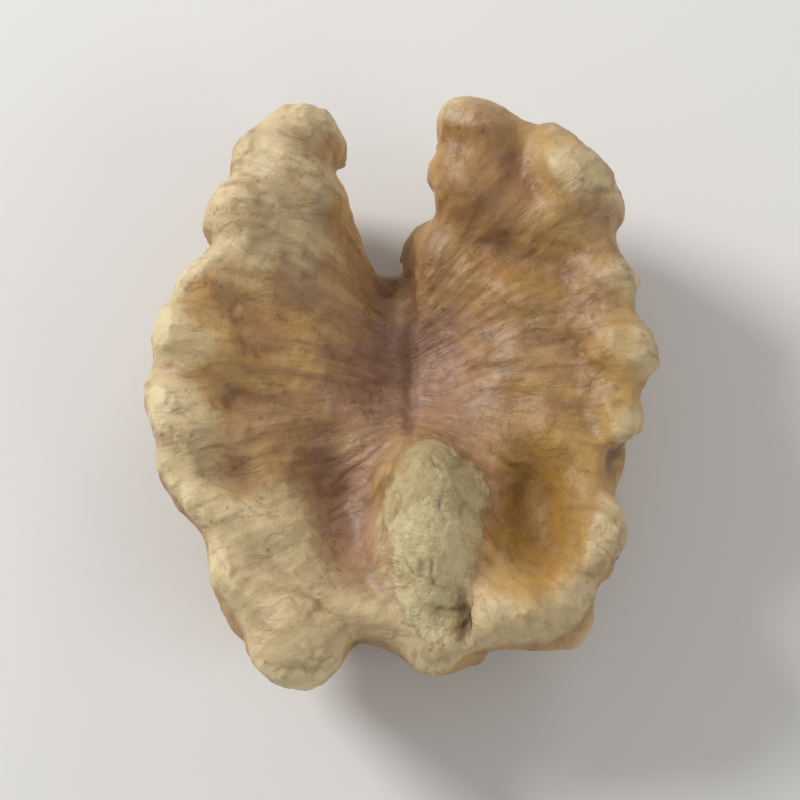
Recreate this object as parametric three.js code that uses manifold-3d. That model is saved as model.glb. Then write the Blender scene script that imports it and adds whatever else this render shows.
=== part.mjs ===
// Half of a walnut kernel, lifted whole out of its cracked shell: one grown piece of two folded lobes.
// It lies on its ridged back with the inner face up. The origin is on the ground under the middle of
// its box, +Y points along the kernel to its notched end, and +X to the right of someone who looks at
// the inner face.
import * as THREE from "three";
import { ImprovedNoise } from "three/addons/math/ImprovedNoise.js";
import { mergeVertices } from "three/addons/utils/BufferGeometryUtils.js";
import Module from "manifold-3d";

// Driving dimensions, in millimetres
const HALF_WIDTH = 14.5;
const HALF_LENGTH = 17.6;
const THICKNESS = 13;

// Folds of the back and rim: rounded ridges of a width, parted by grooves of a width and depth. Each
// set is made of waves whose directions are drawn from a seed and then spread along the axes.
const LARGE_FOLDS = { ridge: 3.7, groove: 1.4, depth: 2.3, waves: 10, seed: 29, spread: [0.85, 1, 0.35] };
const SMALL_FOLDS = { ridge: 2.7, groove: 1.2, depth: 0.9, waves: 10, seed: 4, spread: [1, 1, 1] };

// Share of the depth that stands above the mean surface as ridges, and what keeps a groove smooth
// where its waves are level
const RIDGE_SHARE = 0.35;
const SLOPE_FLOOR = 0.05;

// Share of their depth that the folds have at the height of the rim, and how far below it they reach
// all of it
const RIM_SHARE = 0.36;
const RIM_HEIGHT = 11;
const RIM_REACH = 4;

// They fade out towards the two ends, in shares of the half length, and keep this share of their depth
// there
const END_START = 0.66;
const END_SHARE = 0.25;

// On the inner face they have this share of their depth, and reach in from the rim: from none to full,
// in shares of the way from the middle
const FACE_SHARE = 0.75;
const FOLD_NONE = 0.2;
const FOLD_FULL = 0.75;

// They stay out of its hollows and creases: from none to full, in shares of the way from the middle of
// each to its edge
const CALM_HOLLOW = [0.6, 1.5];
const CALM_CREASE = [0.2, 0.8];

// Furrow down the middle of the back, where the two lobes meet
const FURROW_WIDTH = 2.2;
const FURROW_DEPTH = 1.4;
const FURROW_FADE = 6;

// Uneven growth of the lobes
const LUMP_HEIGHT = 0.5;
const LUMP_SIZE = 4.2;

// Floor of the inner face between the lobes, how far the face rises from near the middle to the rim,
// and how far a hollow or crease rises from its floor to its edge
const FLOOR_HEIGHT = 7.5;
const RIM_RISE = 2.9;
const RIM_START = 0.25;
const HOLLOW_RISE = 3;

// How far neighbouring forms flow into each other
const DOME_BLEND = 4;
const RIM_BLEND = 1.5;
const LOBE_BLEND = 1.6;
const CROWN_BLEND = 0.8;
const HOLLOW_BLEND = 1.4;

// Fullness of the dome of the back: 2 is an ellipsoid, and more is squarer
const DOME_FULLNESS = 2.4;

// Flat resting spots are worn this far into the lowest ridges, by a block of ground this many times as
// wide as the kernel
const REST_DEPTH = 0.5;
const GROUND_SPREAD = 2;

// Size of the mesh cells, how many of them are left free round the kernel, and the weight of a grid
// point against each of its neighbours where the mesh is evened out
const CELL = 0.82;
const FREE_CELLS = 3;
const SOFT_WEIGHT = 2;

// How far inside the flesh a grid point lies that is filled to close a pinch, in cells
const PINCH_FILL = 0.25;

// Points nearer than this are one point
const SAME_POINT = 1e-4;

const DEGREES = Math.PI / 180;

// The back fills the inside of the shell. Places and radii here and below are shares of the half
// width, half length and thickness, with the width and length measured from the middle and the height
// from the ground.
const DOME = { at: [0, 0, 0.82], radii: [1.08, 1.08, 0.82] };

// Lobes, seen on the inner face as ellipses: they give the outline, and each has a crown of its own
// height in millimetres. Turns are in degrees.
const LOBES = [
  { part: "core", at: [0, -0.05], radii: [0.76, 0.76], turn: 0, crown: 8, edge: 7.4 },
  { part: "upper left finger", at: [-0.46, 0.5], radii: [0.3, 0.38], turn: -5, crown: 10, edge: 8 },
  { part: "tip of the finger", at: [-0.4, 0.75], radii: [0.25, 0.28], turn: 0, crown: 10, edge: 7.6 },
  { part: "left cheek", at: [-0.62, 0.04], radii: [0.4, 0.44], turn: 0, crown: 9, edge: 8.6 },
  { part: "lower left tip", at: [-0.43, -0.54], radii: [0.27, 0.45], turn: 14, crown: 9.6, edge: 8.6 },
  { part: "upper right inner knob", at: [0.31, 0.69], radii: [0.28, 0.33], turn: 0, crown: 10, edge: 7.6 },
  { part: "upper right outer knob", at: [0.66, 0.64], radii: [0.3, 0.32], turn: 8, crown: 10, edge: 7.6 },
  { part: "right cheek", at: [0.59, 0.1], radii: [0.43, 0.4], turn: 0, crown: 9, edge: 8.6 },
  { part: "lower right lobe", at: [0.51, -0.48], radii: [0.37, 0.35], turn: 0, crown: 9.6, edge: 8.4 },
  { part: "root of the stub", at: [0.16, -0.55], radii: [0.3, 0.35], turn: 0, crown: 8, edge: 7.4 },
];

// The stub where the other half broke off stands up steeply and has a blunt top
const STUB = { at: [0.12, -0.44], radii: [0.22, 0.35], turn: 0, crown: 12, edge: 7.5 };
const STUB_STEEPNESS = 4;

// Hollows of the inner face, with the height of their floors in millimetres
const HOLLOWS = [
  { part: "middle", at: [0.03, 0.13], radii: [0.3, 0.3], turn: 0, floor: 5.6 },
  { part: "left of the stub", at: [-0.22, -0.36], radii: [0.18, 0.44], turn: 8, floor: 7 },
  { part: "right of the stub", at: [0.4, -0.42], radii: [0.09, 0.3], turn: 0, floor: 7.6 },
  { part: "lower right", at: [0.53, -0.41], radii: [0.15, 0.27], turn: 0, floor: 6.3 },
  { part: "slope into the top notch", at: [-0.04, 0.64], radii: [0.11, 0.32], turn: 0, floor: 3 },
];

// Narrow creases that part its lobes
const CREASES = [
  { part: "below the finger", at: [-0.74, 0.36], radii: [0.5, 0.08], turn: -24, floor: 7.6 },
  { part: "below the left cheek", at: [-0.78, -0.3], radii: [0.45, 0.07], turn: 12, floor: 8.2 },
  { part: "below the knobs", at: [0.7, 0.42], radii: [0.55, 0.08], turn: -8, floor: 7.6 },
  { part: "between the knobs", at: [0.48, 0.82], radii: [0.08, 0.34], turn: 0, floor: 7.6 },
];

// Notches cut through the outline: round-ended strips between two points, with a radius in millimetres
const NOTCHES = [
  { part: "top", from: [-0.03, 0.71], to: [-0.04, 1.2], radius: 2.2 },
  { part: "bottom", from: [-0.09, -0.88], to: [-0.09, -1.2], radius: 1.2 },
];

// Repeatable draws between 0 and 1
function seededRandom(seed) {
  let state = seed;
  return () => {
    state = (state + 0x6d2b79f5) | 0;
    let mixed = Math.imul(state ^ (state >>> 15), 1 | state);
    mixed = (mixed + Math.imul(mixed ^ (mixed >>> 7), 61 | mixed)) ^ mixed;
    return ((mixed ^ (mixed >>> 14)) >>> 0) / 2 ** 32;
  };
}

// Rounded joins of two signed distances, over a band as wide as blend
function smoothMin(a, b, blend) {
  const overlap = Math.max(blend - Math.abs(a - b), 0) / blend;
  return Math.min(a, b) - (overlap * overlap * blend) / 4;
}

function smoothMax(a, b, blend) {
  return -smoothMin(-a, -b, blend);
}

// A place in millimetres from its shares of the half width, half length and thickness
function inMillimetres([across, along, up = 0]) {
  return new THREE.Vector3(across * HALF_WIDTH, along * HALF_LENGTH, up * THICKNESS);
}

// Where a point lies in a turned ellipse: 0 at the middle and 1 on the edge, and how fast that grows
function ellipseReach({ centre, radii, cos, sin }, { x, y }) {
  const dx = x - centre.x;
  const dy = y - centre.y;
  const u = (dx * cos + dy * sin) / radii.x;
  const v = (dy * cos - dx * sin) / radii.y;
  const reach = Math.hypot(u, v);
  return { reach, distance: ((reach - 1) * reach) / (Math.hypot(u / radii.x, v / radii.y) || 1) };
}

// How far a point lies outside a round-ended strip, negative inside
function distanceToNotch({ from, along, radius }, { x, y }) {
  const offset = new THREE.Vector3(x - from.x, y - from.y, 0);
  const share = THREE.MathUtils.clamp(offset.dot(along) / along.lengthSq(), 0, 1);
  return offset.addScaledVector(along, -share).length() - radius;
}

// How far a point lies outside the dome of the back, negative inside
function distanceToDome(point) {
  const offset = point.clone().sub(dome.centre).divide(dome.radii);
  const power = [offset.x, offset.y, offset.z].reduce((sum, t) => sum + Math.abs(t) ** DOME_FULLNESS, 0);
  const reach = offset.length();
  const slope = offset.divide(dome.radii).length() || 1;
  return ((power ** (1 / DOME_FULLNESS) - 1) * reach) / slope;
}

// A set of waves of one length, whose zero lines wander over the kernel as grooves do
function makeFolds({ ridge, groove, depth, waves, seed, spread }) {
  const random = seededRandom(seed);
  const list = Array.from({ length: waves }, () => {
    const direction = new THREE.Vector3(random() - 0.5, random() - 0.5, random() - 0.5);
    direction.multiply(new THREE.Vector3(...spread)).setLength(Math.PI / ridge);
    return { direction, phase: 2 * Math.PI * random() };
  });
  return { list, groove, depth };
}

// An ellipse of the inner face in millimetres, with the rest of what is known of it
function inPlan({ at, radii, turn, ...rest }) {
  return {
    centre: inMillimetres(at),
    radii: inMillimetres(radii),
    cos: Math.cos(turn * DEGREES),
    sin: Math.sin(turn * DEGREES),
    ...rest,
  };
}

const dome = { centre: inMillimetres(DOME.at), radii: inMillimetres(DOME.radii) };
const lobes = LOBES.map(inPlan);
const dips = [
  ...HOLLOWS.map((hollow) => inPlan({ ...hollow, calm: CALM_HOLLOW })),
  ...CREASES.map((crease) => inPlan({ ...crease, calm: CALM_CREASE })),
];
const stub = inPlan(STUB);
const notches = NOTCHES.map(({ from, to, radius }) => {
  const start = inMillimetres(from);
  return { from: start, along: inMillimetres(to).sub(start), radius };
});
const foldSets = [LARGE_FOLDS, SMALL_FOLDS].map(makeFolds);
const noise = new ImprovedNoise();

// How far a set of folds takes the surface in, deepest in the beds of its grooves: a bell over the
// distance to the nearest zero line of its waves
function foldDepth({ list, groove, depth }, point) {
  const slope = new THREE.Vector3();
  let wave = 0;
  for (const { direction, phase } of list) {
    const angle = direction.dot(point) + phase;
    wave += Math.cos(angle);
    slope.addScaledVector(direction, -Math.sin(angle));
  }
  const bell = (groove * groove * (slope.lengthSq() + SLOPE_FLOOR * list.length)) / 4;
  return depth * (bell / (bell + wave * wave) - RIDGE_SHARE);
}

// Signed distance to the surface of the kernel, roughly in millimetres and negative inside
function kernel(point) {
  const { x, y, z } = point;
  const below = THREE.MathUtils.smoothstep(RIM_HEIGHT - z, 0, RIM_REACH);
  const toEnd = THREE.MathUtils.smoothstep(Math.abs(y) / HALF_LENGTH, END_START, 1);
  const depth = foldSets.reduce((sum, folds) => sum + foldDepth(folds, point), 0);
  const fold = depth * THREE.MathUtils.lerp(1, END_SHARE, toEnd);
  let outline = HALF_LENGTH;
  let face = FLOOR_HEIGHT;
  for (const lobe of lobes) {
    const { reach, distance } = ellipseReach(lobe, point);
    outline = smoothMin(outline, distance, LOBE_BLEND);
    face = smoothMax(face, lobe.crown - (lobe.crown - lobe.edge) * reach * reach, CROWN_BLEND);
  }
  let unrest = 1;
  for (const dip of dips) {
    const { reach } = ellipseReach(dip, point);
    face = smoothMin(face, dip.floor + HOLLOW_RISE * reach * reach, HOLLOW_BLEND);
    unrest = Math.min(unrest, THREE.MathUtils.smoothstep(reach, ...dip.calm));
  }
  for (const notch of notches) {
    outline = smoothMax(outline, -distanceToNotch(notch, point), LOBE_BLEND);
  }
  const fromMiddle = Math.hypot(x / HALF_WIDTH, y / HALF_LENGTH);
  face += RIM_RISE * THREE.MathUtils.smoothstep(fromMiddle, RIM_START, 1);
  face -= fold * FACE_SHARE * unrest * THREE.MathUtils.smoothstep(fromMiddle, FOLD_NONE, FOLD_FULL);
  const { reach: stubReach } = ellipseReach(stub, point);
  face = smoothMax(face, stub.crown - (stub.crown - stub.edge) * stubReach ** STUB_STEEPNESS, CROWN_BLEND);
  const furrow = FURROW_DEPTH * Math.exp(-((x / FURROW_WIDTH) ** 2));
  let back = smoothMax(distanceToDome(point), outline, DOME_BLEND);
  back += fold * THREE.MathUtils.lerp(RIM_SHARE, 1, below);
  back += furrow * THREE.MathUtils.smoothstep(FURROW_FADE - z, 0, FURROW_FADE);
  const lump = LUMP_HEIGHT * noise.noise(x / LUMP_SIZE, y / LUMP_SIZE, z / LUMP_SIZE);
  return smoothMax(back, z - face, RIM_BLEND) + lump;
}

// Evens out what is finer than the grid, along each axis in turn
function soften(values, count) {
  for (const step of [1, count.x, count.x * count.y]) {
    const before = values.slice();
    for (let n = step; n < values.length - step; n++) {
      values[n] = (before[n - step] + SOFT_WEIGHT * before[n] + before[n + step]) / (SOFT_WEIGHT + 2);
    }
  }
}

// Fills the grid points where the flesh would touch itself only along an edge or at a corner of the
// grid, so that the surface never pinches
function closePinches(values, count, at, fill) {
  const steps = [1, count.x, count.x * count.y];
  const inside = (n) => values[n] < 0;
  const fillNearer = (a, b) => {
    values[values[a] < values[b] ? a : b] = fill;
  };
  for (let pinches = 1; pinches > 0; ) {
    pinches = 0;
    for (let k = 1; k < count.z - 1; k++) {
      for (let j = 1; j < count.y - 1; j++) {
        for (let i = 1; i < count.x - 1; i++) {
          const n = at(i, j, k);
          for (const [s, t] of [[0, 1], [1, 2], [2, 0]]) {
            const ring = [n, n + steps[s], n + steps[s] + steps[t], n + steps[t]];
            const [a, b, c, d] = ring.map(inside);
            if (a !== c || b !== d || a === b) continue;
            if (a) fillNearer(ring[1], ring[3]);
            else fillNearer(ring[0], ring[2]);
            pinches += 1;
          }
        }
      }
    }
  }
}

// Mesh of the surface where a field is zero: one point in each crossed cell, one quad round each
// crossed edge
function surfaceOf(field, low, high, cell) {
  const count = high.clone().sub(low).divideScalar(cell).ceil().addScalar(1);
  const at = (i, j, k) => (k * count.y + j) * count.x + i;
  const values = new Float32Array(count.x * count.y * count.z);
  for (let k = 0; k < count.z; k++) {
    for (let j = 0; j < count.y; j++) {
      for (let i = 0; i < count.x; i++) {
        values[at(i, j, k)] = field(new THREE.Vector3(i, j, k).multiplyScalar(cell).add(low));
      }
    }
  }
  soften(values, count);
  closePinches(values, count, at, -PINCH_FILL * cell);
  const points = [];
  const pointOf = new Map();
  const corner = (n) => [n & 1, (n >> 1) & 1, n >> 2];
  const edges = [];
  for (let a = 0; a < 8; a++) {
    for (const bit of [1, 2, 4]) {
      if (!(a & bit)) edges.push([corner(a), corner(a | bit)]);
    }
  }
  const cellPoint = (i, j, k) => {
    const key = at(i, j, k);
    if (pointOf.has(key)) return pointOf.get(key);
    const sum = new THREE.Vector3();
    let crossings = 0;
    for (const [a, b] of edges) {
      const va = values[at(i + a[0], j + a[1], k + a[2])];
      const vb = values[at(i + b[0], j + b[1], k + b[2])];
      if (va < 0 === vb < 0) continue;
      const t = va / (va - vb);
      sum.x += a[0] + t * (b[0] - a[0]);
      sum.y += a[1] + t * (b[1] - a[1]);
      sum.z += a[2] + t * (b[2] - a[2]);
      crossings += 1;
    }
    sum.divideScalar(crossings).add(new THREE.Vector3(i, j, k)).multiplyScalar(cell).add(low);
    points.push(sum);
    pointOf.set(key, points.length - 1);
    return points.length - 1;
  };
  const triangles = [];
  const quad = (a, b, c, d, outward) => {
    const ring = outward ? [a, b, c, d] : [d, c, b, a];
    const [p, q, r, s] = ring.map((n) => points[n]);
    const cut = p.distanceTo(r) < q.distanceTo(s) ? [0, 1, 2, 0, 2, 3] : [1, 2, 3, 1, 3, 0];
    triangles.push(...cut.map((n) => ring[n]));
  };
  for (let k = 1; k < count.z - 1; k++) {
    for (let j = 1; j < count.y - 1; j++) {
      for (let i = 1; i < count.x - 1; i++) {
        const inside = values[at(i, j, k)] < 0;
        const p = (di, dj, dk) => cellPoint(i + di, j + dj, k + dk);
        if (inside !== values[at(i + 1, j, k)] < 0) {
          quad(p(0, -1, -1), p(0, 0, -1), p(0, 0, 0), p(0, -1, 0), inside);
        }
        if (inside !== values[at(i, j + 1, k)] < 0) {
          quad(p(-1, 0, -1), p(-1, 0, 0), p(0, 0, 0), p(0, 0, -1), inside);
        }
        if (inside !== values[at(i, j, k + 1)] < 0) {
          quad(p(-1, -1, 0), p(0, -1, 0), p(0, 0, 0), p(-1, 0, 0), inside);
        }
      }
    }
  }
  return { points, triangles };
}

const wasm = await Module();
wasm.setup();

// Closed solids for cutting, and their geometry back again
function solidOf(geometry) {
  const bare = geometry.clone();
  bare.deleteAttribute("normal");
  bare.deleteAttribute("uv");
  const merged = mergeVertices(bare, SAME_POINT);
  return new wasm.Manifold(
    new wasm.Mesh({
      numProp: 3,
      vertProperties: merged.attributes.position.array,
      triVerts: new Uint32Array(merged.index.array),
    }),
  );
}

function geometryOf(solid) {
  const { vertProperties, triVerts } = solid.getMesh();
  const geometry = new THREE.BufferGeometry();
  geometry.setAttribute("position", new THREE.BufferAttribute(vertProperties, 3));
  geometry.setIndex(new THREE.BufferAttribute(triVerts, 1));
  return geometry;
}

function makeKernel() {
  const margin = FREE_CELLS * CELL;
  const low = new THREE.Vector3(-HALF_WIDTH, -HALF_LENGTH, 0).subScalar(margin);
  const high = new THREE.Vector3(HALF_WIDTH, HALF_LENGTH, THICKNESS).addScalar(margin);
  const { points, triangles } = surfaceOf(kernel, low, high, CELL);
  const grown = new THREE.BufferGeometry().setFromPoints(points).setIndex(triangles);
  grown.computeBoundingBox();
  const ground = grown.boundingBox.min.z + REST_DEPTH;
  const spread = 2 * GROUND_SPREAD;
  const block = new THREE.BoxGeometry(spread * HALF_WIDTH, spread * HALF_LENGTH, THICKNESS);
  block.translate(0, 0, ground - THICKNESS / 2);
  const rested = geometryOf(solidOf(grown).subtract(solidOf(block)));
  rested.computeBoundingBox();
  const middle = rested.boundingBox.getCenter(new THREE.Vector3());
  return rested.translate(-middle.x, -middle.y, -ground);
}

const skin = new THREE.MeshStandardMaterial({ color: 0xb08a58, roughness: 0.5, metalness: 0 });
const walnutHalf = new THREE.Mesh(makeKernel(), skin);
walnutHalf.name = "walnut_half";

const part = new THREE.Group();
part.add(walnutHalf);

export default part;
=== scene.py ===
# %% [markdown]
# Half a walnut kernel
#
# A walnut that has been cracked leaves two kernel halves. This lesson dresses one of them. The CAD
# solid gives its size, its lobes and its folds, and Blender adds the fine relief and the thin oily
# skin with its rubbed, pale rims.

# %% Load the frame
import math

import bmesh
import bpy
from mathutils import Color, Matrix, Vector


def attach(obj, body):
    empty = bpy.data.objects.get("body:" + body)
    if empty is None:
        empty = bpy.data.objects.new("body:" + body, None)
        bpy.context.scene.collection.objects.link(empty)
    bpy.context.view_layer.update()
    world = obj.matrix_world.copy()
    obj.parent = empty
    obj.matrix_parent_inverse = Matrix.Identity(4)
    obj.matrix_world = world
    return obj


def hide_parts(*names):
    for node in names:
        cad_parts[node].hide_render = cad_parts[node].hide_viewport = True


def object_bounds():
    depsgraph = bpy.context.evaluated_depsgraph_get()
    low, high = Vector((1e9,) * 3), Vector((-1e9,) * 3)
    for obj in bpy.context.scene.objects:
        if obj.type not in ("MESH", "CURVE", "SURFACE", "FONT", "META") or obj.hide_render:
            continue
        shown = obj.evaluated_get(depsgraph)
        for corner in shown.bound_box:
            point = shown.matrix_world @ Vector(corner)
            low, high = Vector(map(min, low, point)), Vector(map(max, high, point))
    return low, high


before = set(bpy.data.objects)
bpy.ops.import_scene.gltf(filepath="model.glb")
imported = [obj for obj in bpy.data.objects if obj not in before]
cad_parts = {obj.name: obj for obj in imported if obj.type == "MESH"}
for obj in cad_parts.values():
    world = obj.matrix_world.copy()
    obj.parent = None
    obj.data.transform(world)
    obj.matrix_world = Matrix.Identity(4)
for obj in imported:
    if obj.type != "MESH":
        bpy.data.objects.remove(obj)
cad_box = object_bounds()
low, high = cad_box
MM = 0.001
print("CAD box in mm:", [round(side / MM, 1) for side in high - low])

# %% [markdown]
# Camera
#
# The kernel is seen almost straight on to its inner face, with the notched end up. It lies on its
# back here, so the camera looks down on it. A camera could be placed by eye. Here its distance comes
# from the box and the lens, so the kernel always fills the same share of the picture. A long lens
# keeps the far end from looking small.

# %% Camera
LENS = 100.0
SENSOR = 36.0
ELEVATION = math.radians(74)
FRAME_SHARE = 0.8
CAMERA_CLIP = 0.01


def add_camera():
    data = bpy.data.cameras.new("camera")
    data.lens = LENS
    data.sensor_width = SENSOR
    data.clip_start = CAMERA_CLIP
    seen = (high.y - low.y) * math.sin(ELEVATION) + (high.z - low.z) * math.cos(ELEVATION)
    distance = seen / FRAME_SHARE * LENS / SENSOR
    toward = Vector((0, -math.cos(ELEVATION), math.sin(ELEVATION)))
    camera = bpy.data.objects.new("camera", data)
    camera.location = (low + high) / 2 + toward * distance
    camera.rotation_mode = "QUATERNION"
    camera.rotation_quaternion = toward.to_track_quat("Z", "Y")
    bpy.context.scene.collection.objects.link(camera)
    bpy.context.scene.camera = camera
    print("camera distance in mm:", round(distance / MM))


add_camera()

# %% [markdown]
# Studio
#
# A nut this small is lit as on a photographer's table: a pale floor, one large soft lamp high on the
# left, a weaker one on the right that opens the shadows, and a low one behind that draws the rims.
# Spot lamps would give hard shadows. Area lamps give soft ones, whose edges follow the lamp's size.

# %% Floor and lamps
FLOOR_SIZE = 4.0
FLOOR_COLOUR = (0.78, 0.77, 0.75, 1.0)
FLOOR_ROUGHNESS = 0.7
FLOOR_SPECULAR = 0.05
SKY_COLOUR = (1.0, 0.985, 0.96, 1.0)
SKY_STRENGTH = 0.34
LAMPS = {
    "key": {"at": (-0.25, 0.15, 0.2), "size": 0.13, "watts": 1.04},
    "fill": {"at": (0.3, -0.16, 0.2), "size": 0.3, "watts": 0.36},
    "rim": {"at": (0.14, 0.32, 0.14), "size": 0.12, "watts": 0.2},
}


def add_floor():
    mesh = bpy.data.meshes.new("floor")
    half = FLOOR_SIZE / 2
    corners = [(-half, -half, low.z), (half, -half, low.z), (half, half, low.z), (-half, half, low.z)]
    mesh.from_pydata(corners, [], [(0, 1, 2, 3)])
    material = bpy.data.materials.new("floor")
    material.use_nodes = True
    shader = material.node_tree.nodes["Principled BSDF"]
    shader.inputs["Base Color"].default_value = FLOOR_COLOUR
    shader.inputs["Roughness"].default_value = FLOOR_ROUGHNESS
    shader.inputs["Specular IOR Level"].default_value = FLOOR_SPECULAR
    mesh.materials.append(material)
    floor = bpy.data.objects.new("floor", mesh)
    bpy.context.scene.collection.objects.link(floor)


def add_lamp(name, at, size, watts):
    data = bpy.data.lights.new(name, "AREA")
    data.shape = "DISK"
    data.size = size
    data.energy = watts
    lamp = bpy.data.objects.new(name, data)
    lamp.location = at
    lamp.rotation_mode = "QUATERNION"
    lamp.rotation_quaternion = (Vector(at) - (low + high) / 2).to_track_quat("Z", "Y")
    bpy.context.scene.collection.objects.link(lamp)


def add_sky():
    world = bpy.data.worlds.new("sky")
    world.use_nodes = True
    background = world.node_tree.nodes["Background"]
    background.inputs["Color"].default_value = SKY_COLOUR
    background.inputs["Strength"].default_value = SKY_STRENGTH
    bpy.context.scene.world = world


add_floor()
add_sky()
for lamp_name, lamp in LAMPS.items():
    add_lamp(lamp_name, **lamp)
bpy.context.scene.view_settings.view_transform = "Standard"
print("lamps:", ", ".join(LAMPS))

# %% [markdown]
# Formulas as nodes
#
# Relief and colour are both formulas over the surface, and node trees hold them. Wiring every sum by
# hand hides the formula, so a small class stands for a value in a tree: adding or multiplying two of
# them adds the Math node.

# %% A value in a node tree
class Field:
    """A value that flows through a node tree. Arithmetic on it adds Math nodes."""

    def __init__(self, tree, socket):
        self.tree = tree
        self.socket = socket

    def __add__(self, other):
        return calculate(self.tree, "ADD", self, other)

    def __sub__(self, other):
        return calculate(self.tree, "SUBTRACT", self, other)

    def __rsub__(self, other):
        return calculate(self.tree, "SUBTRACT", other, self)

    def __mul__(self, other):
        return calculate(self.tree, "MULTIPLY", self, other)

    def __truediv__(self, other):
        return calculate(self.tree, "DIVIDE", self, other)

    def __rtruediv__(self, other):
        return calculate(self.tree, "DIVIDE", other, self)

    __radd__ = __add__
    __rmul__ = __mul__


def feed(tree, socket, value):
    """A field is linked to the socket, and a plain value is set on it."""
    if isinstance(value, Field):
        tree.links.new(value.socket, socket)
    else:
        socket.default_value = value


def add_node(tree, kind, inputs=(), **settings):
    node = tree.nodes.new(kind)
    for name, value in settings.items():
        setattr(node, name, value)
    for key, value in dict(inputs).items():
        feed(tree, node.inputs[key], value)
    return node


def field(tree, kind, inputs=(), output=0, **settings):
    return Field(tree, add_node(tree, kind, inputs, **settings).outputs[output])


def calculate(tree, operation, *values):
    return field(tree, "ShaderNodeMath", dict(enumerate(values)), operation=operation)


# %% Vectors
def arrange(operation, *vectors):
    """A vector from one or two others."""
    tree = vectors[0].tree
    return field(tree, "ShaderNodeVectorMath", dict(enumerate(vectors)), operation=operation)


def measure(operation, *vectors):
    """A number from one or two vectors, such as a length."""
    tree = vectors[0].tree
    inputs = dict(enumerate(vectors))
    return field(tree, "ShaderNodeVectorMath", inputs, output="Value", operation=operation)


def scaled(vector, factor):
    inputs = {0: vector, "Scale": factor}
    return field(vector.tree, "ShaderNodeVectorMath", inputs, operation="SCALE")


def split(vector):
    node = add_node(vector.tree, "ShaderNodeSeparateXYZ", {0: vector})
    return [Field(vector.tree, socket) for socket in node.outputs]


def joined(x, y, z):
    return field(x.tree, "ShaderNodeCombineXYZ", {0: x, 1: y, 2: z})


# %% Steps, ovals, noise and lines
def step(value, start, end):
    """0 before start, 1 after end, and a smooth rise between. With start above end it falls."""
    inputs = {"Value": value, "From Min": start, "From Max": end}
    return field(value.tree, "ShaderNodeMapRange", inputs, interpolation_type="SMOOTHSTEP")


def oval(across, along, width, length):
    """How far out a point lies in an oval: 0 at its centre and 1 on its edge."""
    return measure("LENGTH", joined(across / width, along / length, 0.0))


def noise(place, size, seed, detail=2.0, roughness=0.5, distortion=0.0):
    """Soft noise from 0 to 1 whose blobs are about as wide as size, with a seed of its own."""
    inputs = {
        "Vector": place,
        "W": seed,
        "Scale": 1 / size,
        "Detail": detail,
        "Roughness": roughness,
        "Distortion": distortion,
    }
    return field(place.tree, "ShaderNodeTexNoise", inputs, noise_dimensions="4D")


NOISE_MIDDLE = 0.5


def lines(value, sharpness):
    """1 where a noise crosses its middle and 0 away from there: thin wandering lines."""
    away = calculate(value.tree, "ABSOLUTE", value - NOISE_MIDDLE)
    return calculate(value.tree, "MAXIMUM", 1 - away * sharpness, 0.0)


# %% [markdown]
# The body of the kernel
#
# The CAD solid comes as loose triangles. Merging their corners and pairing the triangles gives back
# clean squares, which subdivide evenly. A sculpted mesh or a displaced sphere could also make a
# kernel, but then its lobes and folds would not be those of the solid.

# %% Squares from the CAD solid
MERGE_DISTANCE = 1e-6
NODE = "walnut_half"


def quad_copy(node):
    made = bmesh.new()
    made.from_mesh(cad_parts[node].data)
    bmesh.ops.remove_doubles(made, verts=made.verts, dist=MERGE_DISTANCE)
    bmesh.ops.join_triangles(
        made,
        faces=made.faces,
        angle_face_threshold=math.pi,
        angle_shape_threshold=math.pi,
    )
    mesh = bpy.data.meshes.new("kernel_cage")
    made.to_mesh(mesh)
    made.free()
    return mesh


cage = quad_copy(NODE)
squares = sum(len(face.vertices) == 4 for face in cage.polygons)
print("cage:", len(cage.polygons), "faces, of which", squares, "are squares")

# %% [markdown]
# Relief of the skin
#
# On a real kernel the folds are crossed by finer relief. Grooves are narrow and deep, wrinkles leave
# the seam of the inner face to both sides, the flesh of the broken stub is grainy, and the skin is
# worn along the rims. All this could be sculpted by hand. It follows the surface by rules, though,
# so a Geometry Nodes tree makes it, with one field for each rule. The same fields are stored on the
# mesh for the material to colour by. Lengths in the tree are in millimetres.

# %% The tree and its inputs
MIDDLE_X = 0.5
MIDDLE_Y = 1.0
FAN_OFFSET = 4.0

relief = bpy.data.node_groups.new("kernel_relief", "GeometryNodeTree")
relief.interface.new_socket("Geometry", in_out="OUTPUT", socket_type="NodeSocketGeometry")
relief.interface.new_socket("Geometry", in_out="INPUT", socket_type="NodeSocketGeometry")

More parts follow.
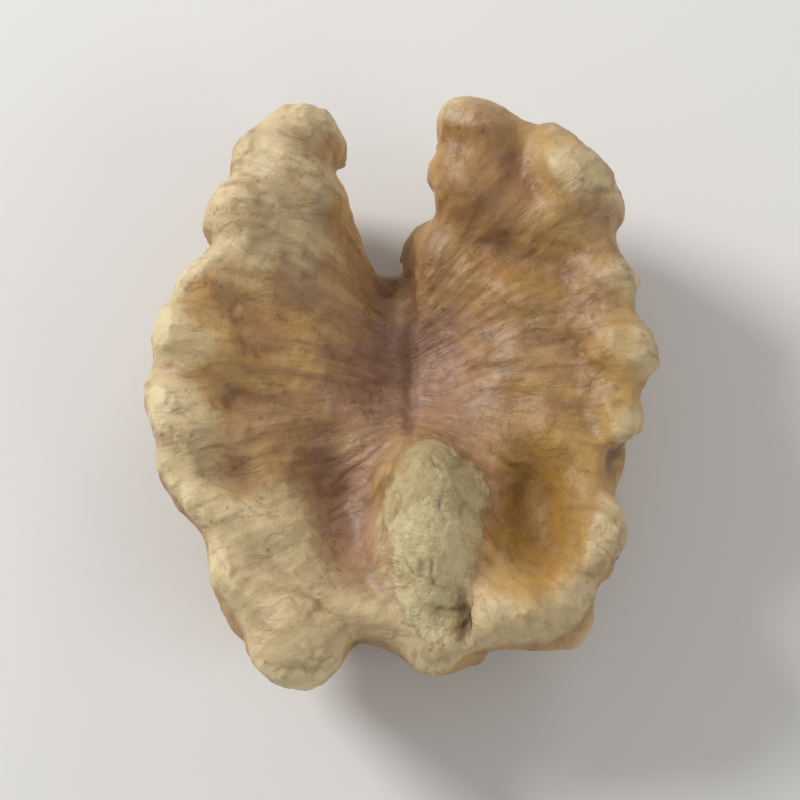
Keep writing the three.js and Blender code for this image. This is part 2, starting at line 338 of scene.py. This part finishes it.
RELIEF_INPUTS = {
    "Fineness": ("NodeSocketInt", 2),
    "Seed": ("NodeSocketFloat", 7.0),
    "Low corner": ("NodeSocketVector", low / MM),
    "High corner": ("NodeSocketVector", high / MM),
    "Groove gain": ("NodeSocketFloat", 1.3),
    "Ridge gain": ("NodeSocketFloat", 0.7),
    "Middle": ("NodeSocketVector", (MIDDLE_X, MIDDLE_Y, 0.0)),
    "Middle reach": ("NodeSocketFloat", 6.5),
    "Seam depth": ("NodeSocketFloat", 0.25),
    "Fan wrinkles": ("NodeSocketFloat", 8.0),
    "Fan offset": ("NodeSocketFloat", FAN_OFFSET),
    "Fan height": ("NodeSocketFloat", 0.5),
    "Vein height": ("NodeSocketFloat", 0.05),
    "Swell size": ("NodeSocketFloat", 3.4),
    "Swell height": ("NodeSocketFloat", 0.4),
    "Lump size": ("NodeSocketFloat", 1.1),
    "Lump height": ("NodeSocketFloat", 0.45),
    "Worn side": ("NodeSocketVector", (-0.9, -0.4, 0.0)),
    "Skin thickness": ("NodeSocketFloat", 0.18),
    "Warm bump": ("NodeSocketVector", (4.7, 12.4, 0.0)),
    "Warm width": ("NodeSocketFloat", 3.2),
    "Warm length": ("NodeSocketFloat", 4.6),
    "Stub centre": ("NodeSocketVector", (1.8, -8.0, 0.0)),
    "Stub width": ("NodeSocketFloat", 2.8),
    "Stub length": ("NodeSocketFloat", 5.8),
    "Grain size": ("NodeSocketFloat", 0.9),
    "Grain height": ("NodeSocketFloat", 0.45),
    "Crack depth": ("NodeSocketFloat", 0.12),
    "Cleft": ("NodeSocketVector", (3.4, -13.0, 0.0)),
    "Cleft width": ("NodeSocketFloat", 0.6),
    "Cleft length": ("NodeSocketFloat", 2.0),
    "Cleft depth": ("NodeSocketFloat", 0.7),
    "Skin": ("NodeSocketMaterial", None),
}
for input_name, (input_kind, _) in RELIEF_INPUTS.items():
    relief.interface.new_socket(input_name, in_out="INPUT", socket_type=input_kind)
entry = relief.nodes.new("NodeGroupInput")
given = {socket.name: Field(relief, socket) for socket in entry.outputs if socket.name}
place = scaled(field(relief, "GeometryNodeInputPosition"), 1 / MM)
normal = field(relief, "GeometryNodeInputNormal")
print("inputs of the relief:", ", ".join(RELIEF_INPUTS))

# %% Noises of the relief
RELIEF_NOISES = {
    "ragged": {"size": 1.6, "seed": 0.0, "detail": 3.0},
    "torn": {"size": 3.2, "seed": 2.0},
    "fan": {"size": 1.0, "seed": 3.0, "distortion": 0.35},
    "fine tears": {"size": 0.5, "seed": 5.0, "detail": 3.0},
    "vein gaps": {"size": 3.0, "seed": 6.0},
    "crack": {"size": 1.0, "seed": 8.0, "distortion": 0.5},
    "crack gaps": {"size": 1.8, "seed": 9.0},
    "swell": {"size": given["Swell size"], "seed": 10.0, "detail": 1.0},
    "lumps": {"size": given["Lump size"], "seed": 11.0, "detail": 3.0},
    "crumbs": {"size": given["Grain size"], "seed": 13.0, "detail": 4.0, "roughness": 0.7},
    "worn patches": {"size": 0.8, "seed": 17.0, "detail": 4.0, "roughness": 0.6},
    "vein": {"size": 1.0, "seed": 24.0, "detail": 3.0, "distortion": 0.3},
}


def relief_noise(name, at=place):
    """One of the noises above. Its seed counts on from the seed of the tree."""
    settings = dict(RELIEF_NOISES[name])
    settings["seed"] = given["Seed"] + settings["seed"]
    return noise(at, **settings)


print("noises of the relief:", ", ".join(RELIEF_NOISES))

# %% [markdown]
# Height above the neighbourhood
#
# A point on a ridge lies above the average of its neighbours and a point in a groove lies below.
# Blurring the positions gives that average, so one subtraction finds ridges and grooves of any
# shape. A short blur sees the fine folds and a long one sees whole lobes. Painting such masks by
# hand would take an hour and would be lost at each change of the solid.

# %% Ridges and grooves
FINE_BLUR = 20
BROAD_BLUR = 160
NORMAL_BLUR = 40
GROOVE_DEPTHS = (0.0, -0.11)
HOLLOW_DEPTHS = (0.05, -0.4)
CREST_HEIGHTS = (0.15, 0.75)
INNER_FACING = (0.1, 0.5)


def blurred(vector, iterations):
    inputs = {"Value": vector, "Iterations": iterations}
    return field(relief, "GeometryNodeBlurAttribute", inputs, data_type="FLOAT_VECTOR")


def height_above(iterations):
    return measure("DOT_PRODUCT", arrange("SUBTRACT", place, blurred(place, iterations)), normal)


fine = height_above(FINE_BLUR)
broad = height_above(BROAD_BLUR)
_, _, facing = split(blurred(normal, NORMAL_BLUR))
groove = step(fine, *GROOVE_DEPTHS)
hollow = step(broad, *HOLLOW_DEPTHS)
crest = step(broad, *CREST_HEIGHTS)
inner = step(facing, *INNER_FACING)
print("masks of the folds:", len(relief.nodes), "nodes so far")

# %% [markdown]
# Middle, seam and wrinkles
#
# In the middle of the inner face the skin is reddish, and a faint seam runs down between the two
# lobes. Wrinkles and veins leave that seam to both sides and turn outwards. A noise that changes with
# the direction from the middle, and hardly with the distance, is drawn out into such streaks. Streaks
# that all met in one point would look like a star, so each lobe has its directions from a point a
# little beyond the seam.

# %% Middle and seam
MIDDLE_WANDER = 3.0
MIDDLE_CORE = 0.35
SEAM_WANDER = 1.4
SEAM_WIDTHS = (0.6, 0.05)
SEAM_FOOT = (-3.5, -1.5)
SEAM_HEAD = (10.0, 7.0)

x, y, z = split(place)
middle_x, middle_y, _ = split(given["Middle"])
ragged = relief_noise("ragged") - NOISE_MIDDLE
from_middle = measure("LENGTH", joined(x - middle_x, y - middle_y, 0.0))
reach = given["Middle reach"]
middle = step(from_middle + ragged * MIDDLE_WANDER, reach, reach * MIDDLE_CORE) * inner
off_seam = x - middle_x + ragged * SEAM_WANDER
from_seam = calculate(relief, "ABSOLUTE", off_seam)
lobe_side = calculate(relief, "SIGN", off_seam)
seam = step(from_seam, *SEAM_WIDTHS) * step(y, *SEAM_FOOT) * step(y, *SEAM_HEAD) * inner
print("with the seam:", len(relief.nodes), "nodes")

# %% Wrinkles and veins
FAN_DRIFT = 0.06
FAN_CHANGE = 0.16
LOBE_SHIFT = 5.0
FAN_NEAR = (0.3, 1.6)
FAN_FAR = (12.5, 8.0)
VEIN_SHARE = 0.6
VEIN_DRIFT = 0.22
VEIN_SHARPNESS = 22.0
VEIN_GAPS = (0.35, 0.6)

fan_start = joined(from_seam + given["Fan offset"], y - middle_y, 0.0)
fan_way = scaled(arrange("NORMALIZE", fan_start), given["Fan wrinkles"])
fan_change = from_middle * FAN_CHANGE + lobe_side * LOBE_SHIFT
fan_place = arrange("ADD", fan_way, joined(x * FAN_DRIFT, y * FAN_DRIFT, fan_change))
fan = relief_noise("fan", fan_place)
fan_fade = step(from_seam, *FAN_NEAR) * step(from_middle, *FAN_FAR) * inner
vein_place = arrange("ADD", scaled(fan_way, VEIN_SHARE), scaled(place, VEIN_DRIFT))
vein = lines(relief_noise("vein", vein_place), VEIN_SHARPNESS)
vein = vein * step(relief_noise("vein gaps"), *VEIN_GAPS)
print("with the wrinkles:", len(relief.nodes), "nodes")

# %% [markdown]
# Stub, cleft and warm bump
#
# Below the middle stands the stub, where the bridge to the other half broke: an oval of bare, cracked
# flesh with a ragged edge. A short cleft lies at its foot, and the bump right of the notch has a
# warmer skin. They could be separate meshes, but on the real kernel all of it is one body. So each is
# a distance in an oval, made ragged by noise.

# %% Stub, cleft and warm bump
FINE_TEARS = 0.25
SCAR_EDGE = (1.76, 1.44)
CRACK_STRETCH = (0.55, 0.28, 0.3)
CRACK_SHARPNESS = 30.0
CRACK_GAPS = (0.45, 0.6)
CLEFT_WANDER = 1.2
CLEFT_EDGE = (1.0, 0.2)
WARM_WANDER = 0.6
WARM_EDGE = (1.1, 0.6)

stub_x, stub_y, _ = split(given["Stub centre"])
in_stub = oval(x - stub_x, y - stub_y, given["Stub width"], given["Stub length"])
torn = relief_noise("fine tears") * FINE_TEARS + relief_noise("torn")
scar = step(in_stub + torn, *SCAR_EDGE) * inner
crack = lines(relief_noise("crack", arrange("MULTIPLY", place, CRACK_STRETCH)), CRACK_SHARPNESS)
crack = crack * scar * step(relief_noise("crack gaps"), *CRACK_GAPS)

cleft_x, cleft_y, _ = split(given["Cleft"])
cleft_across = x - cleft_x + ragged * CLEFT_WANDER
in_cleft = oval(cleft_across, y - cleft_y, given["Cleft width"], given["Cleft length"])
cleft = step(in_cleft, *CLEFT_EDGE) * inner

warm_x, warm_y, _ = split(given["Warm bump"])
in_warm = oval(x - warm_x, y - warm_y, given["Warm width"], given["Warm length"])
warm = step(in_warm + ragged * WARM_WANDER, *WARM_EDGE) * inner
print("with the stub:", len(relief.nodes), "nodes")

# %% [markdown]
# Worn rims
#
# A kernel is handled and shaken about, so its skin is rubbed thin and pale on the rims, most of all
# on the left and at the ends. Dividing a position by the high corner of the box says how far out a
# point is, from 0 to about 1, whatever the size. Crests that lie far out are the rims, and noise wears
# them in patches.

# %% Rims, pale band and wear
IN_PLANE = (1.0, 1.0, 0.0)
RIM_WANDER = 0.2
RIM_OUTWARD = (0.5, 0.95)
FLANK_WANDER = 0.35
FLANK_SIDE = (0.5, 0.9)
ENDS_WANDER = 0.4
ENDS_ALONG = (0.2, 0.5)
ENDS_SIDE = (-0.2, 0.2)
WEAR_EVERYWHERE = 0.8
WEAR_BY_SIDE = 0.25
WEAR_PATCHES = 1.3
WEAR_EDGE = (0.64, 0.94)
WORN_DEPTH = 0.5

shares = arrange("DIVIDE", place, given["High corner"])
outward = measure("LENGTH", arrange("MULTIPLY", shares, IN_PLANE))
side = measure("DOT_PRODUCT", shares, given["Worn side"])
rim = crest * step(outward + ragged * RIM_WANDER, *RIM_OUTWARD)
flank = step(side + ragged * FLANK_WANDER, *FLANK_SIDE)
_, length_share, _ = split(shares)
along = calculate(relief, "ABSOLUTE", length_share)
ends = step(along + ragged * ENDS_WANDER, *ENDS_ALONG) * step(side, *ENDS_SIDE)
band = calculate(relief, "MAXIMUM", flank, ends) * inner
worn_patches = relief_noise("worn patches") - NOISE_MIDDLE
rubbing = rim * (WEAR_EVERYWHERE + side * WEAR_BY_SIDE)
wear = step(rubbing + worn_patches * WEAR_PATCHES, *WEAR_EDGE)
bare = calculate(relief, "MAXIMUM", scar, wear * WORN_DEPTH)
print("with the rims:", len(relief.nodes), "nodes")

# %% [markdown]
# Moving the surface
#
# The surface moves in two steps, because normals change after the first. First the grooves get
# deeper and narrower. Then come the wrinkles, the lumps, the grain of the flesh and the edge of the
# torn skin. Both fade out towards the ground, so that the resting spots stay flat. The result is
# held inside the box of the CAD solid, because the looks may not make the nut bigger.

# %% First move
GROUND_FADE = (0.05, 0.8)

off_ground = step(z, *GROUND_FADE)


def moved(geometry, amount):
    """The geometry with each point moved along its normal by an amount in millimetres."""
    inputs = {"Geometry": geometry, "Offset": scaled(normal, amount * off_ground * MM)}
    return field(relief, "GeometryNodeSetPosition", inputs)


subdivided = field(
    relief,
    "GeometryNodeSubdivisionSurface",
    {"Mesh": given["Geometry"], "Level": given["Fineness"]},
)
down = calculate(relief, "MINIMUM", fine, 0.0) * given["Groove gain"]
up = calculate(relief, "MAXIMUM", fine, 0.0) * given["Ridge gain"]
deepened = moved(subdivided, down + up)
print("with the first move:", len(relief.nodes), "nodes")

# %% Second move
LUMPS_OFF_STUB = 0.75

swell = relief_noise("swell") - NOISE_MIDDLE
lumps = relief_noise("lumps") - NOISE_MIDDLE
crumbs = relief_noise("crumbs") - NOISE_MIDDLE
rounding = swell * given["Swell height"] + lumps * given["Lump height"]
amount = (fan - NOISE_MIDDLE) * fan_fade * (1 - scar) * given["Fan height"]
amount = amount + rounding * (1 - scar * LUMPS_OFF_STUB)
amount = amount + crumbs * scar * given["Grain height"]
amount = amount - bare * given["Skin thickness"]
amount = amount + vein * (1 - bare) * given["Vein height"]
amount = amount - crack * given["Crack depth"]
amount = amount - cleft * given["Cleft depth"]
amount = amount - seam * given["Seam depth"]


def held_inside(geometry):
    inside = arrange("MAXIMUM", arrange("MINIMUM", place, given["High corner"]), given["Low corner"])
    inputs = {"Geometry": geometry, "Position": scaled(inside, MM)}
    return field(relief, "GeometryNodeSetPosition", inputs)


print("with both moves:", len(relief.nodes), "nodes")

# %% [markdown]
# Ending the tree
#
# Each field that the material needs is stored by name on the points, before the second move. Real
# kernels have no sharp edges, so the faces are shaded smooth. The tree ends in a plain mesh with its
# material.

# %% Stored fields and the end
STORED = {
    "groove": groove,
    "hollow": hollow,
    "crest": crest,
    "inner": inner,
    "middle": middle,
    "seam": seam,
    "fan": fan,
    "fan_fade": fan_fade,
    "vein": vein,
    "scar": scar,
    "crack": crack,
    "cleft": cleft,
    "warm": warm,
    "outward": outward,
    "rim": rim,
    "band": band,
    "wear": wear,
}


def stored(geometry, name, value):
    inputs = {"Geometry": geometry, "Name": name, "Value": value}
    return field(relief, "GeometryNodeStoreNamedAttribute", inputs, data_type="FLOAT", domain="POINT")


shape = deepened
for stored_name, stored_field in STORED.items():
    shape = stored(shape, stored_name, stored_field)
shape = held_inside(moved(shape, amount))
shape = field(relief, "GeometryNodeSetShadeSmooth", {"Geometry": shape})
shape = field(relief, "GeometryNodeRealizeInstances", {"Geometry": shape})
shape = field(relief, "GeometryNodeSetMaterial", {"Geometry": shape, "Material": given["Skin"]})
exit_node = relief.nodes.new("NodeGroupOutput")
feed(relief, exit_node.inputs["Geometry"], shape)
print("relief tree:", len(relief.nodes), "nodes,", len(STORED), "stored fields")

# %% [markdown]
# Skin
#
# The skin is a thin brown coat over cream flesh. It is tan and ochre on the cheeks, mauve-brown in
# the middle, amber in the hollow beside the stub, and rubbed pale along the rims. Painted shade darkens
# the narrow grooves, the broad hollows, the cleft and the cracks, and painted shade and haze lie in
# grey patches in the middle. A painted picture could hold all that, but it would be tied to one size
# and one view. So the stored fields say where each colour goes, and noise breaks up every border.

# %% Colours
FULL = 255


def colour(red, green, blue):
    """A colour given as on a screen, from 0 to 255, in the linear values that shaders take."""
    on_screen = Color((red / FULL, green / FULL, blue / FULL))
    return (*on_screen.from_srgb_to_scene_linear(), 1.0)


TAN = colour(174, 138, 92)
OCHRE = colour(186, 148, 86)
ORANGE = colour(178, 126, 74)
RED_BROWN = colour(172, 132, 104)
ORANGE_BROWN = colour(156, 112, 70)
# The next colour is a grey for painted shade and haze in the middle.
SHADE_HAZE_GREY = colour(140, 116, 104)
AMBER = colour(152, 110, 12)
# The next colour is a dark brown for specks and mottle, and for painted shade in grooves, the cleft and
# cracks.
SPECK_AND_SHADE_BROWN = colour(80, 50, 30)
VEIN_BROWN = colour(118, 78, 48)
PALE_SKIN = colour(202, 180, 136)
CREAM = colour(218, 200, 156)
OLIVE_FLESH = colour(172, 153, 110)
PALE_FLESH = colour(210, 195, 150)
FLESH_PIT = colour(158, 134, 88)
print("tan in linear values:", [round(value, 3) for value in TAN])

# %% Material and its helpers
# The Mix node has a set of sockets for each kind of value. These are the places of its colours.
MIX_COLOURS = (6, 7)
MIX_RESULT = 2

skin = bpy.data.materials.new("kernel_skin")
skin.use_nodes = True
paint = skin.node_tree
shader = paint.nodes["Principled BSDF"]
spot = scaled(field(paint, "ShaderNodeTexCoord", output="Object"), 1 / MM)


def attribute(name):
    return field(paint, "ShaderNodeAttribute", output="Fac", attribute_name=name)


def blend(base, over, share):
    """One colour over another, by a share from 0 to 1."""
    node = add_node(paint, "ShaderNodeMix", data_type="RGBA")
    feed(paint, node.inputs["Factor"], share)
    for index, layer in zip(MIX_COLOURS, (base, over)):
        feed(paint, node.inputs[index], layer)
    return Field(paint, node.outputs[MIX_RESULT])


print("material:", skin.name)

# %% Noises of the skin
SKIN_NOISES = {
    "ochre": {"size": 5.0, "seed": 1.0},
    "orange": {"size": 3.2, "seed": 2.0, "detail": 3.0},
    "fibre": {"size": 1.0, "seed": 3.0, "detail": 3.0, "roughness": 0.6},
    "cloud": {"size": 1.4, "seed": 4.0, "detail": 4.0, "roughness": 0.6},
    "shade haze": {"size": 1.3, "seed": 5.0, "detail": 3.0, "roughness": 0.6},
    "mottle": {"size": 0.5, "seed": 6.0, "detail": 4.0, "roughness": 0.65},
    "speck groups": {"size": 1.0, "seed": 7.0},
    "grain": {"size": 0.3, "seed": 8.0, "detail": 4.0, "roughness": 0.65},
    "edge": {"size": 0.45, "seed": 9.0, "detail": 3.0},
    "pits": {"size": 1.3, "seed": 10.0, "detail": 3.0},
    "gloss": {"size": 0.8, "seed": 12.0},
    "pores": {"size": 0.22, "seed": 14.0, "detail": 3.0, "roughness": 0.6},
    "thread": {"size": 1.0, "seed": 15.0, "detail": 3.0, "distortion": 0.9},
    "thread gaps": {"size": 2.4, "seed": 16.0},
    "flakes": {"size": 1.2, "seed": 18.0, "detail": 4.0, "roughness": 0.65},
}
PATCH_EDGES = {
    "ochre": (0.38, 0.62),
    "orange": (0.5, 0.7),
    "shade haze": (0.45, 0.62),
    "speck groups": (0.5, 0.62),
    "pits": (0.5, 0.66),
    "thread gaps": (0.42, 0.6),
    "flakes": (0.53, 0.62),
}


def skin_noise(name, at=spot):
    return noise(at, **SKIN_NOISES[name])


def patches(name):
    """Where a noise is high: 0 before its edge and 1 after it."""
    return step(skin_noise(name), *PATCH_EDGES[name])


print("noises of the skin:", ", ".join(SKIN_NOISES))

# %% [markdown]
# Brown skin
#
# The colours are laid one over another, as a painter glazes: first the broad tones, then the painted
# shade of the hollows, the middle and its patches of painted shade and haze, and last the thin lines,
# the specks and the painted shade of the grooves. Each layer has a share, so that what lies under it
# still shows.

# %% Shares of the layers
# The layers for hollows, grooves, the cleft and cracks are painted shade in recesses, and the grey
# patches in the middle are painted shade and haze.
SHARES = {
    "orange": 0.6,
    "warm": 0.7,
    "hollow": 0.9,
    "hollow near rim": 0.4,
    "middle": 0.8,
    "amber": 0.85,
    "shade haze": 0.7,
    "seam": 0.6,
    "fan": 0.4,
    "vein": 0.5,
    "mottle": 0.35,
    "fibre": 0.35,
    "thread": 0.3,
    "speck": 0.35,
    "groove": 0.7,
    "inner groove": 0.28,
    "cleft": 0.8,
    "grain": 0.4,
    "pits": 0.5,
    "crack": 0.6,
    "rubbed": 0.75,
    "lip": 0.3,
    "flakes": 0.5,
}
print("layers with a share:", len(SHARES))

# %% Broad tones
PALE_RIM = 0.75
PALE_CREST = 0.25
PALE_BAND = 0.85
PALE_CLOUD = 0.8
PALE_EDGE = (0.1, 0.9)

across, length_way, _ = split(spot)
cloud = skin_noise("cloud") - NOISE_MIDDLE
tint = blend(TAN, OCHRE, patches("ochre"))
tint = blend(tint, ORANGE, patches("orange") * SHARES["orange"])
paleness = attribute("rim") * PALE_RIM + attribute("crest") * PALE_CREST + attribute("band") * PALE_BAND
tint = blend(tint, PALE_SKIN, step(paleness + cloud * PALE_CLOUD, *PALE_EDGE))
tint = blend(tint, ORANGE_BROWN, attribute("warm") * SHARES["warm"])
print("broad tones:", len(paint.nodes), "nodes so far")

# %% Painted shade in hollows, middle and amber
HOLLOW_SHADE_OUTWARD = (0.7, 0.45)
NEAR_RIM_OUTWARD = (0.54, 0.74)
AMBER_X = 7.4
AMBER_Y = -6.6
AMBER_WIDTH = 3.0
AMBER_LENGTH = 5.2
AMBER_CLOUD = 0.9
AMBER_EDGE = (1.15, 0.4)

# Painted shade: the broad hollows are darkened, orange-brown near the rims and red-brown further in,
# and less on the inner face close to the rim.
hollow_shade_colour = blend(ORANGE_BROWN, RED_BROWN, step(attribute("outward"), *HOLLOW_SHADE_OUTWARD))
near_rim = step(attribute("outward"), *NEAR_RIM_OUTWARD) * attribute("inner")
hollow_shade_share = SHARES["hollow"] - near_rim * (SHARES["hollow"] - SHARES["hollow near rim"])
tint = blend(tint, hollow_shade_colour, attribute("hollow") * hollow_shade_share)
tint = blend(tint, RED_BROWN, attribute("middle") * SHARES["middle"])
in_amber = oval(across - AMBER_X, length_way - AMBER_Y, AMBER_WIDTH, AMBER_LENGTH)
amber = step(in_amber + cloud * AMBER_CLOUD, *AMBER_EDGE) * attribute("inner")
tint = blend(tint, AMBER, amber * SHARES["amber"])
# Painted shade and haze: grey-mauve patches over the middle.
tint = blend(tint, SHADE_HAZE_GREY, patches("shade haze") * attribute("middle") * SHARES["shade haze"])
tint = blend(tint, VEIN_BROWN, attribute("seam") * SHARES["seam"])
print("with the hollows:", len(paint.nodes), "nodes")

# %% Fibres, veins and threads
FAN_LINE_SHARPNESS = 9.0
MOTTLE_EDGE = (0.5, 0.8)
FIBRES = 20.0
FIBRE_DRIFT = 0.3
FIBRE_EDGE = (0.5, 0.75)
THREADS = 5.5
THREAD_DRIFT = 0.5
THREAD_SHARPNESS = 16.0

from_line = calculate(paint, "ABSOLUTE", across - MIDDLE_X)
fibre_way = arrange("NORMALIZE", joined(from_line + FAN_OFFSET, length_way - MIDDLE_Y, 0.0))
fibre = skin_noise("fibre", arrange("ADD", scaled(fibre_way, FIBRES), scaled(spot, FIBRE_DRIFT)))
thread_place = arrange("ADD", scaled(fibre_way, THREADS), scaled(spot, THREAD_DRIFT))
thread = lines(skin_noise("thread", thread_place), THREAD_SHARPNESS) * patches("thread gaps")
fan_lines = lines(attribute("fan"), FAN_LINE_SHARPNESS) * attribute("fan_fade")
mottle = skin_noise("mottle")
tint = blend(tint, VEIN_BROWN, fan_lines * SHARES["fan"])
tint = blend(tint, VEIN_BROWN, attribute("vein") * SHARES["vein"])
tint = blend(tint, SPECK_AND_SHADE_BROWN, step(mottle, *MOTTLE_EDGE) * SHARES["mottle"])
tint = blend(tint, VEIN_BROWN, step(fibre, *FIBRE_EDGE) * SHARES["fibre"])
tint = blend(tint, VEIN_BROWN, thread * SHARES["thread"])
print("with the lines:", len(paint.nodes), "nodes")

# %% Specks, and painted shade in grooves and cleft
SPECK_SPACING = 0.75
SPECK_EDGE = (0.26, 0.12)

dots = field(paint, "ShaderNodeTexVoronoi", {"Vector": spot, "Scale": 1 / SPECK_SPACING}, feature="F1")
speck = step(dots, *SPECK_EDGE) * patches("speck groups")
# Painted shade: the grooves are darkened, less on the inner face, and the cleft at the foot of the stub
# is darkened too.
groove_shade_share = SHARES["groove"] - attribute("inner") * (SHARES["groove"] - SHARES["inner groove"])
tint = blend(tint, SPECK_AND_SHADE_BROWN, speck * SHARES["speck"])
tint = blend(tint, SPECK_AND_SHADE_BROWN, attribute("groove") * groove_shade_share)
tint = blend(tint, SPECK_AND_SHADE_BROWN, attribute("cleft") * SHARES["cleft"])
print("with the specks:", len(paint.nodes), "nodes")

# %% [markdown]
# Bare flesh
#
# Where the bridge broke, the flesh is olive-cream at the top and paler towards the foot, with grain,
# pits and cracks, and flakes of skin still stick to it. Along the rims the skin is only rubbed thin.
# One fine noise frays both borders.

# %% Bare flesh
FLESH_CLOUD = 9.0
FLESH_FADE = (-2.5, -11.0)
GRAIN_EDGE = (0.44, 0.7)
RUBBED_FRAY = 0.9
RUBBED_EDGE = (0.3, 0.85)
SCAR_FRAY = 0.8
TORN_EDGE = (0.3, 0.8)
LIP_EDGE = (0.0, 0.4)

grain = skin_noise("grain")
flesh = blend(OLIVE_FLESH, PALE_FLESH, step(length_way + cloud * FLESH_CLOUD, *FLESH_FADE))
flesh = blend(flesh, FLESH_PIT, step(grain, *GRAIN_EDGE) * SHARES["grain"])
flesh = blend(flesh, FLESH_PIT, patches("pits") * SHARES["pits"])
# Painted shade: the cracks in the flesh are darkened.
flesh = blend(flesh, SPECK_AND_SHADE_BROWN, attribute("crack") * SHARES["crack"])
fray = skin_noise("edge") - NOISE_MIDDLE
rubbed = step(attribute("wear") + fray * RUBBED_FRAY, *RUBBED_EDGE)
frayed_scar = attribute("scar") + fray * SCAR_FRAY
torn_open = step(frayed_scar, *TORN_EDGE) * (1 - patches("flakes") * SHARES["flakes"])
lip = step(frayed_scar, *LIP_EDGE) * (1 - torn_open)
tint = blend(tint, CREAM, rubbed * SHARES["rubbed"])
tint = blend(tint, VEIN_BROWN, lip * SHARES["lip"])
feed(paint, shader.inputs["Base Color"], blend(tint, flesh, torn_open))
print("with the flesh:", len(paint.nodes), "nodes")

# %% [markdown]
# Gloss and fine bumps
#
# The skin is oily, so it has a soft gloss. Bare flesh, rubbed rims and the amber hollow are duller.
# What is finer than the mesh, such as pores and fibres, is a bump in the material, with its heights
# in millimetres, while every visible shape is in the mesh. A little light passes into the flesh,
# which softens the shadows on the rims.

# %% Gloss and fine bumps
ROUGHNESS = 0.42
ROUGHNESS_VARIED = 0.18
ROUGHNESS_TORN = 0.14
ROUGHNESS_RUBBED = 0.08
ROUGHNESS_AMBER = 0.22
SKIN_SETTINGS = {
    "Subsurface Weight": 0.05,
    "Subsurface Radius": (1.0, 0.5, 0.25),
    "Subsurface Scale": 0.0008,
    "Coat Weight": 0.05,
    "Coat Roughness": 0.3,
}
BUMP_STRENGTH = 1.0
BUMPS = (
    (skin_noise("pores"), 0.035),
    (mottle, 0.06),
    (fibre, 0.09),
    (fan_lines, -0.03),
    (grain * torn_open, 0.14),
    (speck, -0.02),
    (thread, 0.02),
)

gloss = ROUGHNESS + skin_noise("gloss") * ROUGHNESS_VARIED
gloss = gloss + torn_open * ROUGHNESS_TORN + rubbed * ROUGHNESS_RUBBED + amber * ROUGHNESS_AMBER
feed(paint, shader.inputs["Roughness"], gloss)
for setting_name, setting in SKIN_SETTINGS.items():
    shader.inputs[setting_name].default_value = setting
bump_height = sum(pattern * height for pattern, height in BUMPS)
bump_inputs = {"Strength": BUMP_STRENGTH, "Distance": MM, "Height": bump_height}
feed(paint, shader.inputs["Normal"], field(paint, "ShaderNodeBump", bump_inputs))
print("whole skin:", len(paint.nodes), "nodes")

# %% [markdown]
# Growing the kernel
#
# The tree runs as a modifier on the cage, with its inputs set before the first evaluation. Its result
# is copied to a plain mesh, and the modifier goes away with the cage. A live modifier would also
# show, but the finished kernel is handed on as a mesh.

# %% Run the relief
MEASURED = ("scar", "wear", "band")


def grow(cage_mesh, name):
    cage_object = bpy.data.objects.new(name + "_cage", cage_mesh)
    bpy.context.scene.collection.objects.link(cage_object)
    modifier = cage_object.modifiers.new("relief", "NODES")
    modifier.node_group = relief
    sockets = {item.name: item.identifier for item in relief.interface.items_tree}
    for input_name, (_, value) in RELIEF_INPUTS.items():
        modifier[sockets[input_name]] = value if input_name != "Skin" else skin
    evaluated = cage_object.evaluated_get(bpy.context.evaluated_depsgraph_get())
    mesh = bpy.data.meshes.new_from_object(evaluated)
    mesh.name = name
    bpy.data.objects.remove(cage_object)
    grown = bpy.data.objects.new(name, mesh)
    bpy.context.scene.collection.objects.link(grown)
    return grown


kernel = grow(cage, "kernel")
kernel.data.calc_loop_triangles()
print("kernel:", len(kernel.data.vertices), "points,", len(kernel.data.loop_triangles), "triangles")
for measured_name in MEASURED:
    values = [point.value for point in kernel.data.attributes[measured_name].data]
    print(measured_name, "covers", round(100 * sum(values) / len(values), 1), "% of the points")

# %% Hand the kernel to the frame
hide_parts(NODE)
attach(kernel, "root")
print("kernel stands for:", NODE)
